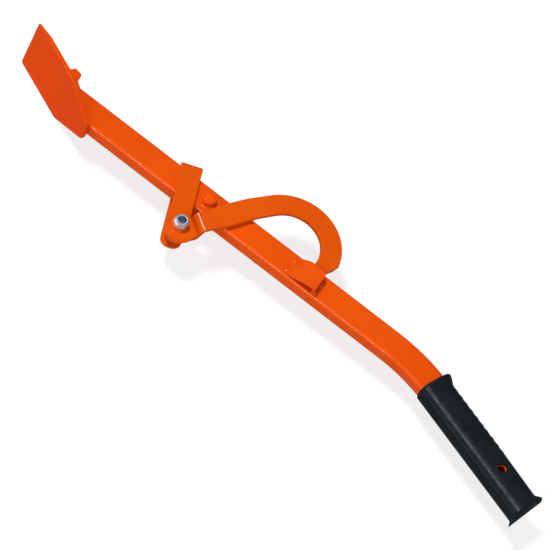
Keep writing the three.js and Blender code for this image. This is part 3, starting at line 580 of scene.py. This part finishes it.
def from_stud(point):
    return Vector((point.x - STUD.x, point.y - STUD.y, STUD_RADIUS)).normalized()


bead("weld_stud", stud_weld_path(), STUD_WELD_RADIUS, from_stud, seed=11.0)
stud_dab = [Vector((x, y, TUBE_SIDE + STUD_DAB_LIFT)) for x, y in ((-102.6, -9.6), (-97.0, -10.6))]
bead("weld_stud_dab", stud_dab, STUD_DAB_RADIUS, Vector((0, 0, 1)), seed=12.0)

STUD_HEIGHT = 7.4
STUD_BASE = TUBE_SIDE + SEAT_GAP
STUD_RIM = 1.1
STUD_GROOVE = 6.4
STUD_GROOVE_HALF = 1.1
STUD_GROOVE_DEPTH = 1.0
STUD_RIM_STEPS = 6
STUD_GROOVE_STEPS = 10
STUD_MIDDLE_STEPS = 6


def turned_rings(profile, centre, sides=64):
    return [
        [
            place(
                centre.x + radius * math.cos(2 * math.pi * k / sides),
                centre.y + radius * math.sin(2 * math.pi * k / sides),
                z,
            )
            for k in range(sides)
        ]
        for radius, z in profile
    ]


def stud():
    """A round stud with a rounded rim and a shallow ring pressed into its top."""
    top = STUD_BASE + STUD_HEIGHT
    profile = [(STUD_RADIUS, STUD_BASE)]
    for k in range(STUD_RIM_STEPS + 1):
        angle = math.pi / 2 * k / STUD_RIM_STEPS
        profile.append(
            (
                STUD_RADIUS - STUD_RIM * (1 - math.cos(angle)),
                top - STUD_RIM * (1 - math.sin(angle)),
            )
        )
    for k in range(STUD_GROOVE_STEPS + 1):
        share = k / STUD_GROOVE_STEPS
        dip = STUD_GROOVE_DEPTH * (1 - math.cos(2 * math.pi * share)) / 2
        profile.append((STUD_GROOVE + STUD_GROOVE_HALF * (1 - 2 * share), top - dip))
    for k in range(1, STUD_MIDDLE_STEPS):
        radius = (STUD_GROOVE - STUD_GROOVE_HALF) * (1 - k / STUD_MIDDLE_STEPS)
        profile.append((radius, top))
    bm = bmesh.new()
    loft(bm, turned_rings(profile, STUD))
    bmesh.ops.recalc_face_normals(bm, faces=bm.faces)
    return finish_mesh(bm, "stud_painted", paint, "lever", replaces="stop_stud")


stud()

# ---- bolt with its rolled thread

BOLT_RADIUS = 5
THREAD_PITCH = 1.5
THREAD_DEPTH = 0.85
THREAD_START = 14
THREAD_STEPS = 10  # rings in one turn
THREAD_POINT = 1.1  # length of the point behind the bolt's end
BOLT_HEAD_HEIGHT = 6.4
BOLT_ACROSS = 16
BOLT_SIDES = 48
DISH_DEPTH = 0.35
DISH_INNER = 2.5
DISH_OUTER = 5.2
DISH_RIM = 5.6
HEAD_FACE = 7.2
HEAD_CHAMFER = 7.6
HEAD_CHAMFER_STEP = 0.3
HEAD_CHAMFER_STEPS = 5
HEAD_CHAMFER_SLOPE = 1.6
HEAD_SEAT = 7.7
NECK_ROUND = 0.25
STRAP_LEAN = math.radians(23.3)


def bolt():
    bm = bmesh.new()
    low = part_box("pivot_bolt")[0].z / MM - SHIFT.z
    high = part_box("pivot_bolt")[1].z / MM - SHIFT.z
    head_top = low + BOLT_HEAD_HEIGHT
    rings = []

    def add_ring(z, radius_at):
        ring = []
        for k in range(BOLT_SIDES):
            angle = 2 * math.pi * k / BOLT_SIDES
            radius = radius_at(angle)
            x, y = PIVOT.x + radius * math.cos(angle), PIVOT.y + radius * math.sin(angle)
            ring.append(place(x, y, z))
        rings.append(ring)

    def hexagonal(limit):
        def radius_at(angle):
            turn = (angle - STRAP_LEAN) % (math.pi / 3) - math.pi / 6
            return min(BOLT_ACROSS / 2 / math.cos(turn), limit)

        return radius_at

    def round_at(radius):
        return lambda angle: radius

    corner = BOLT_ACROSS / 2 / math.cos(math.pi / 6)
    add_ring(low + DISH_DEPTH, round_at(DISH_INNER))
    add_ring(low + DISH_DEPTH, round_at(DISH_OUTER))
    add_ring(low, round_at(DISH_RIM))
    add_ring(low, round_at(HEAD_FACE))
    for step in range(HEAD_CHAMFER_STEPS):
        rise = step * HEAD_CHAMFER_STEP
        add_ring(low + rise, hexagonal(HEAD_CHAMFER + rise * HEAD_CHAMFER_SLOPE))
    for down, off in ((0.6, 0.15), (0.3, 0.5)):
        add_ring(head_top - down, hexagonal(corner - off))
    add_ring(head_top, hexagonal(HEAD_SEAT))
    add_ring(head_top, round_at(BOLT_RADIUS + NECK_ROUND))
    add_ring(head_top + NECK_ROUND, round_at(BOLT_RADIUS))
    add_ring(THREAD_START - 1, round_at(BOLT_RADIUS))
    steps = int((high - THREAD_START) / (THREAD_PITCH / THREAD_STEPS))
    for step in range(steps + 1):
        z = THREAD_START + (high - THREAD_START) * step / steps
        run_in = min(1, (z - THREAD_START) / THREAD_PITCH)
        point_off = max(0, z - (high - THREAD_POINT)) * 0.9

        def threaded(angle, z=z, run_in=run_in, point_off=point_off):
            turn = ((z / THREAD_PITCH) - angle / (2 * math.pi)) % 1.0
            depth = THREAD_DEPTH * min(1, max(0, 1.25 * (1 - abs(turn * 2 - 1)) - 0.1))
            return min(BOLT_RADIUS - depth * run_in, BOLT_RADIUS - point_off)

        add_ring(z, threaded)
    loft(bm, rings)
    bmesh.ops.recalc_face_normals(bm, faces=bm.faces)
    return finish_mesh(bm, "bolt_threaded", bolt_zinc_painted_shade, "saddle", replaces="pivot_bolt")


bolt()

# ---- grip

GRIP_START = 233
GRIP_END = 422
GRIP_DEPTH = 41
GRIP_WIDTH = 29
GRIP_END_WALL = 8
GRIP_END_SLANT = math.radians(8.6)
GRIP_END_DOME = 5
GRIP_TAPER = 1.2
GRIP_LIP_RISE = 6.8
GRIP_LIP_LENGTH = 19
GRIP_TAIL_RISE = 6.5
GRIP_TAIL_LENGTH = 8
GRIP_WAVE_RISE = 0.75
GRIP_WAVES_START = 250
GRIP_WAVES_END = 352
GRIP_WAVE_COUNT = 10
GRIP_EDGE_ROUND = 3.5
GRIP_SQUARE = 0.66
GRIP_SIDES = 96
GRIP_EDGE_STEPS = 6
GRIP_BODY_STEPS = 170
GRIP_TAIL_STEPS = 24
BUTT_STEPS = 24
SOCKET_OVERRUN = 5
SOCKET_BEND_END = 245
SOCKET_BEND_STEPS = 6
HANG_SIDES = 48
HANG_DISTANCE = 365
HANG_ACROSS = 2.7
HANG_RADIUS = 6
SLANT_REACH = (GRIP_DEPTH / 2 + GRIP_TAIL_RISE) * math.tan(GRIP_END_SLANT)


def axis_at(distance):
    past = distance - BEND_START
    if past <= 0:
        return distance, 0.0, 0.0
    length = BEND_RADIUS * BEND_ANGLE
    turn = min(past, length) / BEND_RADIUS
    beyond = max(past - length, 0)
    x = BEND_START + BEND_RADIUS * math.sin(turn) + beyond * math.cos(turn)
    y = -BEND_RADIUS * (1 - math.cos(turn)) - beyond * math.sin(turn)
    return x, y, -turn


def on_shaft(distance, across, z):
    x, y, heading = axis_at(distance)
    return place(x - math.sin(heading) * across, y + math.cos(heading) * across, z)


def swell(share):
    return (1 - math.cos(2 * math.pi * share)) / 2 if 0 < share < 1 else 0


def fade(share):
    return (1 + math.cos(math.pi * max(share, 0))) / 2 if share < 1 else 0


def grip_ring(distance):
    def rounding(inside, radius):
        share = min(max(inside / radius, 0), 1)
        return radius * (1 - math.sqrt(1 - (1 - share) ** 2))

    def tail(end):
        return GRIP_TAIL_RISE * fade((end - distance) / GRIP_TAIL_LENGTH)

    shrink = rounding(distance - GRIP_START, GRIP_EDGE_ROUND)
    guard = GRIP_LIP_RISE * fade((distance - GRIP_START) / GRIP_LIP_LENGTH)
    behind = max(distance - GRIP_WAVES_END, 0) / (GRIP_END - GRIP_WAVES_END)
    above = tail(GRIP_END - SLANT_REACH) + guard - GRIP_TAPER * behind
    below = tail(GRIP_END + SLANT_REACH)
    pitch = (GRIP_WAVES_END - GRIP_WAVES_START) / GRIP_WAVE_COUNT
    turn = (distance - GRIP_WAVES_START) / pitch
    wave = GRIP_WAVE_RISE * swell(turn % 1) if 0 < turn < GRIP_WAVE_COUNT else 0
    ring = []
    for k in range(GRIP_SIDES):
        angle = 2 * math.pi * k / GRIP_SIDES
        c, s = math.cos(angle), math.sin(angle)
        across = math.copysign(abs(c) ** GRIP_SQUARE, c)
        out = math.copysign(abs(s) ** GRIP_SQUARE, s)
        crown = max(0.0, c) ** 2
        depth = GRIP_DEPTH / 2 - shrink + (above if c > 0 else below)
        ring.append(
            on_shaft(
                distance,
                across * depth + crown * wave,
                out * (GRIP_WIDTH / 2 - shrink),
            )
        )
    return ring


def boolean_cut(target, cutter):
    modifier = target.modifiers.new("cut", "BOOLEAN")
    modifier.operation = "DIFFERENCE"
    modifier.solver = "EXACT"
    modifier.object = cutter
    with bpy.context.temp_override(object=target, active_object=target):
        bpy.ops.object.modifier_apply(modifier=modifier.name)
    bpy.data.objects.remove(cutter)


def plain_object(name, rings):
    bm = bmesh.new()
    loft(bm, rings)
    bmesh.ops.recalc_face_normals(bm, faces=bm.faces)
    mesh = bpy.data.meshes.new(name)
    bm.to_mesh(mesh)
    bm.free()
    thing = bpy.data.objects.new(name, mesh)
    bpy.context.scene.collection.objects.link(thing)
    return thing


def past_butt():
    """Everything past the butt end: a surface that leans back and is arched across the lever."""
    half = GRIP_WIDTH / 2 + SEAT_GAP
    radius = (half**2 + GRIP_END_DOME**2) / (2 * GRIP_END_DOME)
    opening = math.asin(half / radius)
    arc = [-opening + 2 * opening * k / BUTT_STEPS for k in range(BUTT_STEPS + 1)]
    outline = [(radius * math.cos(a) - radius, radius * math.sin(a)) for a in arc]
    outline += [(GRIP_DEPTH, half), (GRIP_DEPTH, -half)]
    x, y, heading = axis_at(GRIP_END)
    heading += GRIP_END_SLANT
    outward = Vector((math.cos(heading), math.sin(heading)))
    upward = Vector((-math.sin(heading), math.cos(heading)))
    rings = []
    for reach in (-GRIP_DEPTH, GRIP_DEPTH):
        base = Vector((x, y)) + upward * reach
        rings.append([place(*(base + outward * out), z) for out, z in outline])
    return plain_object("grip_past_butt", rings)


def grip():
    turns = [math.pi / 2 * k / GRIP_EDGE_STEPS for k in range(GRIP_EDGE_STEPS)]
    stations = [GRIP_START + GRIP_EDGE_ROUND * (1 - math.cos(turn)) for turn in turns]
    body_start = GRIP_START + GRIP_EDGE_ROUND
    tail_start = GRIP_END - SLANT_REACH - GRIP_TAIL_LENGTH
    tail_end = GRIP_END + SLANT_REACH + SEAT_GAP
    for k in range(GRIP_BODY_STEPS):
        stations.append(body_start + (tail_start - body_start) * k / GRIP_BODY_STEPS)
    for k in range(GRIP_TAIL_STEPS + 1):
        stations.append(tail_start + (tail_end - tail_start) * k / GRIP_TAIL_STEPS)
    body = plain_object("grip_rubber_body", [grip_ring(d) for d in stations])
    boolean_cut(body, past_butt())
    socket_stations = [GRIP_START - SOCKET_OVERRUN]
    for k in range(SOCKET_BEND_STEPS + 1):
        span = (SOCKET_BEND_END - GRIP_START) * k / SOCKET_BEND_STEPS
        socket_stations.append(GRIP_START + span)
    socket_stations.append(GRIP_END - GRIP_END_WALL)
    section = tube_outline(SEAT_GAP)
    socket = plain_object(
        "grip_socket", [[on_shaft(d, p.x, p.y) for p in section] for d in socket_stations]
    )
    boolean_cut(body, socket)
    x, y, heading = axis_at(HANG_DISTANCE)
    centre = Vector((x - math.sin(heading) * HANG_ACROSS, y + math.cos(heading) * HANG_ACROSS))
    profile = [(HANG_RADIUS, -GRIP_WIDTH), (HANG_RADIUS, GRIP_WIDTH)]
    hole = plain_object("grip_hole", turned_rings(profile, centre, HANG_SIDES))
    boolean_cut(body, hole)
    bm = bmesh.new()
    bm.from_mesh(body.data)
    bpy.data.objects.remove(body)
    bmesh.ops.remove_doubles(bm, verts=bm.verts, dist=SAME_POINT * MM)
    bmesh.ops.recalc_face_normals(bm, faces=bm.faces)
    bm.faces.index_update()
    return finish_mesh(
        bm, "grip_moulded", rubber, "lever", replaces="grip", weighted=False
    )


grip()

# ---- floor, light and camera

FLOOR_REACH = 40.0
FLOOR_DROP = 0.0003
# the floor as the camera sees it, in reflections, and for bounced light
SEEN_GREY = 0.28
SEEN_GLOW = 0.75
MIRRORED_GREY = 0.2
BOUNCED_GREY = 0.55
SKY_DARK = (0.14, 0.145, 0.155)
SOFT_BOX = (1.6, 1.6, 1.6)
SUN_DISTANCE = 3


def floor():
    bm = bmesh.new()
    corners = [(-1, -1), (1, -1), (1, 1), (-1, 1)]
    spots = [(x * FLOOR_REACH, y * FLOOR_REACH, -FLOOR_DROP) for x, y in corners]
    bm.faces.new([bm.verts.new(spot) for spot in spots])
    mesh = bpy.data.meshes.new("studio_floor")
    bm.to_mesh(mesh)
    bm.free()
    thing = bpy.data.objects.new("studio_floor", mesh)
    bpy.context.scene.collection.objects.link(thing)
    material = bpy.data.materials.new("studio_floor")
    material.use_nodes = True
    tree = material.node_tree
    tree.nodes.clear()
    path = add_node(tree, "ShaderNodeLightPath")
    lit = add_node(tree, "ShaderNodeBsdfDiffuse", {"Color": rgb(*[BOUNCED_GREY] * 3)})
    mirrored = add_node(tree, "ShaderNodeBsdfDiffuse", {"Color": rgb(*[MIRRORED_GREY] * 3)})
    shade = add_node(tree, "ShaderNodeBsdfDiffuse", {"Color": rgb(*[SEEN_GREY] * 3)})
    glow = add_node(tree, "ShaderNodeEmission", {"Color": rgb(1, 1, 1), "Strength": SEEN_GLOW})
    pale = add_node(tree, "ShaderNodeAddShader")
    tree.links.new(shade.outputs[0], pale.inputs[0])
    tree.links.new(glow.outputs[0], pale.inputs[1])
    bounced = add_node(tree, "ShaderNodeMixShader", {"Fac": path.outputs["Is Glossy Ray"]})
    tree.links.new(lit.outputs[0], bounced.inputs[1])
    tree.links.new(mirrored.outputs[0], bounced.inputs[2])
    mixed = add_node(tree, "ShaderNodeMixShader", {"Fac": path.outputs["Is Camera Ray"]})
    tree.links.new(bounced.outputs[0], mixed.inputs[1])
    tree.links.new(pale.outputs[0], mixed.inputs[2])
    output = add_node(tree, "ShaderNodeOutputMaterial")
    tree.links.new(mixed.outputs[0], output.inputs["Surface"])
    mesh.materials.append(material)


def world():
    sky = bpy.data.worlds.new("studio")
    bpy.context.scene.world = sky
    sky.use_nodes = True
    tree = sky.node_tree
    tree.nodes.clear()
    direction = add_node(tree, "ShaderNodeTexCoord").outputs["Generated"]
    split = add_node(tree, "ShaderNodeSeparateXYZ", {"Vector": direction})
    low = remap(tree, split.outputs["Z"], 0.66, 0.5, 0, 1)
    front = multiply(tree, low, remap(tree, split.outputs["Y"], -0.4, -0.7, 0, 1))
    colour = mix_colour(tree, front, rgb(*SKY_DARK), rgb(*SOFT_BOX))
    horizon = remap(tree, split.outputs["Z"], 0.0, 0.06, 1, 0)
    colour = mix_colour(tree, horizon, colour, rgb(1, 1, 1))
    background = add_node(tree, "ShaderNodeBackground", {"Color": colour, "Strength": 1.0})
    output = add_node(tree, "ShaderNodeOutputWorld")
    tree.links.new(background.outputs[0], output.inputs["Surface"])


def sun(name, towards, strength, angle):
    lamp = bpy.data.lights.new(name, "SUN")
    lamp.energy = strength
    lamp.angle = math.radians(angle)
    thing = bpy.data.objects.new(name, lamp)
    thing.rotation_mode = "QUATERNION"
    thing.rotation_quaternion = Vector(towards).normalized().to_track_quat("Z", "Y")
    thing.location = Vector(towards).normalized() * SUN_DISTANCE
    bpy.context.scene.collection.objects.link(thing)


floor()
world()
sun("key", (-0.42, 0.02, 0.9), 2.3, 12)
sun("rim", (-0.13, -0.83, 0.54), 0.4, 6)
sun("fill", (0.8, 0.1, 0.5), 0.6, 40)

# The view's axes: right, up and back toward the camera
VIEW_RIGHT = Vector((0.7859, 0.5662, 0.2465))
VIEW_BACK = Vector((0.1314, -0.5430, 0.8283))
PHOTO_WIDTH = 550
FOCAL_PIXELS = 20000
MM_PER_PIXEL = 1.143
SENSOR = 36
VIEW_CENTRE = Vector((11.66, -11.96, -9.69))
CLIP_NEAR = 1
CLIP_FAR = 200


def camera():
    data = bpy.data.cameras.new("camera")
    data.sensor_fit = "HORIZONTAL"
    data.sensor_width = SENSOR
    data.lens = SENSOR * FOCAL_PIXELS / PHOTO_WIDTH
    data.clip_start = CLIP_NEAR
    data.clip_end = CLIP_FAR
    thing = bpy.data.objects.new("camera", data)
    bpy.context.scene.collection.objects.link(thing)
    back = VIEW_BACK.normalized()
    up = back.cross(VIEW_RIGHT).normalized()
    right = up.cross(back)
    turn = Matrix((right, up, back)).transposed().to_4x4()
    turn.translation = place(*VIEW_CENTRE) + back * (FOCAL_PIXELS * MM_PER_PIXEL * MM)
    thing.matrix_world = turn
    bpy.context.scene.camera = thing


camera()
bpy.context.scene.view_settings.view_transform = "Standard"
